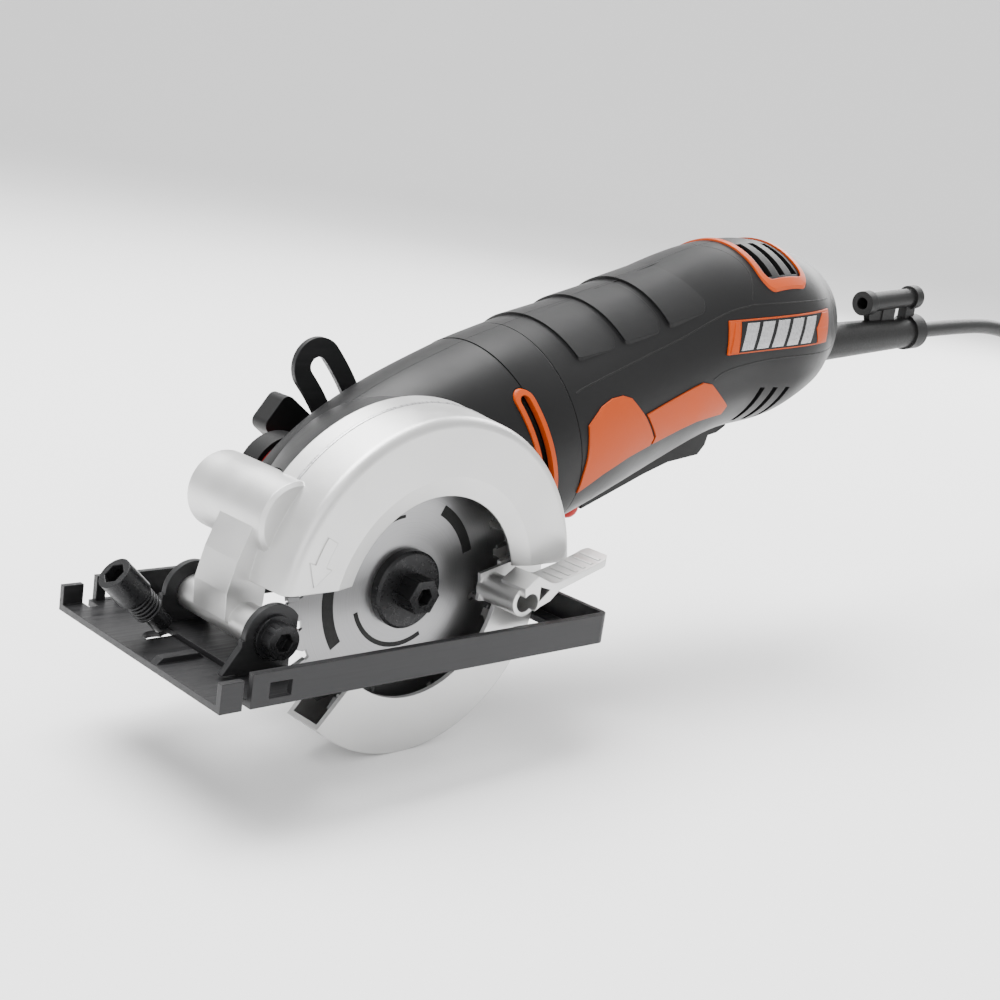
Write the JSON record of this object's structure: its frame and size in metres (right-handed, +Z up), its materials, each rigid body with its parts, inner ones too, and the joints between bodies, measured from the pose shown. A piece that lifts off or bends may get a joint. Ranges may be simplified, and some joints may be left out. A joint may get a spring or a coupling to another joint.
{
  "type": "compact circular saw",
  "caption": "Compact plunge circular saw with an in-line barrel grip, swinging lower guard and a base that tilts to set the depth of cut.",
  "frame": {"origin": "under the middle of the saw without its cord, on the surface that it stands on", "axes": "+X from the base towards the cord, +Y away from the blade side, +Z up, sole level"},
  "size_m": [0.5679, 0.185, 0.1603],
  "materials": {
    "shell_plastic": "charcoal, fine texture",
    "orange_soft": "soft overmould",
    "orange_plastic": "satin",
    "black_rubber": "matt",
    "cord_rubber": "matt",
    "cable_tie": "matt",
    "cast_aluminium": "satin cast",
    "black_steel": "black, brushed under the finish",
    "dark_fixings": "black oxide",
    "blade_steel": "ground",
    "bright_steel": "turned",
    "lamination_steel": "stacked sheet",
    "brass_parts": "drawn",
    "carbon": "pressed carbon",
    "inner_plastic": "moulded",
    "red_plastic": "semi-gloss"
  },
  "bodies": {
    "housing": {"nose_cover_left": "shell_plastic", "nose_cover_right": "shell_plastic", "collar_left": "shell_plastic", "collar_right": "shell_plastic", "body_shell_left": "shell_plastic", "body_shell_right": "shell_plastic", "slot_frame": "orange_plastic", "front_pads": "orange_soft", "rear_pads": "orange_soft", "label_plates": "orange_plastic", "vent_ring": "orange_plastic", "housing_screws": "dark_fixings", "cable_sleeve": "black_rubber", "key_clip": "black_rubber", "lock_collar": "shell_plastic", "switch_block": "inner_plastic", "gear_case": "cast_aluminium", "stator": "lamination_steel", "motor_carriers": "inner_plastic", "rear_motor_mount": "inner_plastic", "motor_bearings": "bright_steel", "spindle_bearings": "bright_steel", "brush_holders": "brass_parts", "carbon_brushes": "carbon", "upper_guard": "cast_aluminium", "retaining_ring": "dark_fixings", "guard_spring": "bright_steel", "guard_screws": "dark_fixings", "depth_screw": "bright_steel", "paddle_pin": "bright_steel", "cord_lead": "cord_rubber", "cord_coil": "cord_rubber", "coil_tie": "cable_tie", "cord_tail": "cord_rubber", "plug_body": "cord_rubber", "plug_pins": "brass_parts"},
    "armature": {"armature": "lamination_steel", "fan": "inner_plastic", "commutator": "brass_parts", "pinion": "bright_steel"},
    "spindle": {"spindle": "bright_steel", "ring_gear": "bright_steel", "inner_flange": "bright_steel", "blade": "blade_steel", "outer_flange": "dark_fixings", "arbor_bolt": "dark_fixings"},
    "lower_guard": {"lower_guard": "cast_aluminium", "guard_lever": "cast_aluminium"},
    "base": {"base_plate": "black_steel", "pivot_bracket": "black_steel", "pivot_bolt": "dark_fixings", "pivot_nut": "dark_fixings", "depth_bracket": "black_steel", "clamp_spring": "bright_steel"},
    "depth_lever": {"depth_lever": "shell_plastic"},
    "guide_clamp": {"clamp_bolt": "dark_fixings"},
    "paddle": {"paddle_switch": "shell_plastic"},
    "lockoff": {"lockoff_button": "red_plastic"},
    "spindle_lock": {"spindle_lock": "red_plastic"}
  },
  "joints": [
    {"name": "armature_spin", "type": "hinge", "parent": "housing", "child": "armature", "pos_m": [-0.11339, 0.0113, 0.0499], "axis": [0.8988, 0, 0.4384], "continuous": true},
    {"name": "blade_spin", "type": "hinge", "parent": "housing", "child": "spindle", "pos_m": [-0.11339, -0.0217, 0.0499], "axis": [0, 1, 0], "continuous": true},
    {"name": "guard_swing", "type": "hinge", "parent": "housing", "child": "lower_guard", "pos_m": [-0.11339, -0.0217, 0.0499], "axis": [0, -1, 0], "range_deg": [0, 110], "stiffness_Nm_per_rad": 0.05, "springref_deg": -51.57},
    {"name": "depth_tilt", "type": "hinge", "parent": "housing", "child": "base", "pos_m": [-0.16989, -0.0217, 0.0464], "axis": [0, 1, 0], "range_deg": [0, 30]},
    {"name": "depth_lever_turn", "type": "hinge", "parent": "housing", "child": "depth_lever", "pos_m": [-0.08658, 0.0433, 0.06563], "axis": [0, 1, 0], "range_deg": [0, 60]},
    {"name": "guide_clamp_turn", "type": "hinge", "parent": "base", "child": "guide_clamp", "pos_m": [-0.18439, 0.0003, 0.0423], "axis": [-0.7071, 0, 0.7071], "range_deg": [0, 720]},
    {"name": "paddle_press", "type": "hinge", "parent": "housing", "child": "paddle", "pos_m": [-0.00889, 0.0113, 0.0681], "axis": [0, -1, 0], "range_deg": [0, 4], "stiffness_Nm_per_rad": 2, "springref_deg": -2.86},
    {"name": "lockoff_press", "type": "slide", "parent": "housing", "child": "lockoff", "axis": [-0.342, 0, 0.9397], "range_m": [0, 0.003], "stiffness_N_per_m": 400, "springref_m": -0.002},
    {"name": "spindle_lock_press", "type": "slide", "parent": "housing", "child": "spindle_lock", "axis": [0, -1, 0], "range_m": [0, 0.003], "stiffness_N_per_m": 500, "springref_m": -0.002}
  ],
  "couplings": [
    {"joint": "blade_spin", "follows": "armature_spin", "ratio": 0.28571}
  ]
}
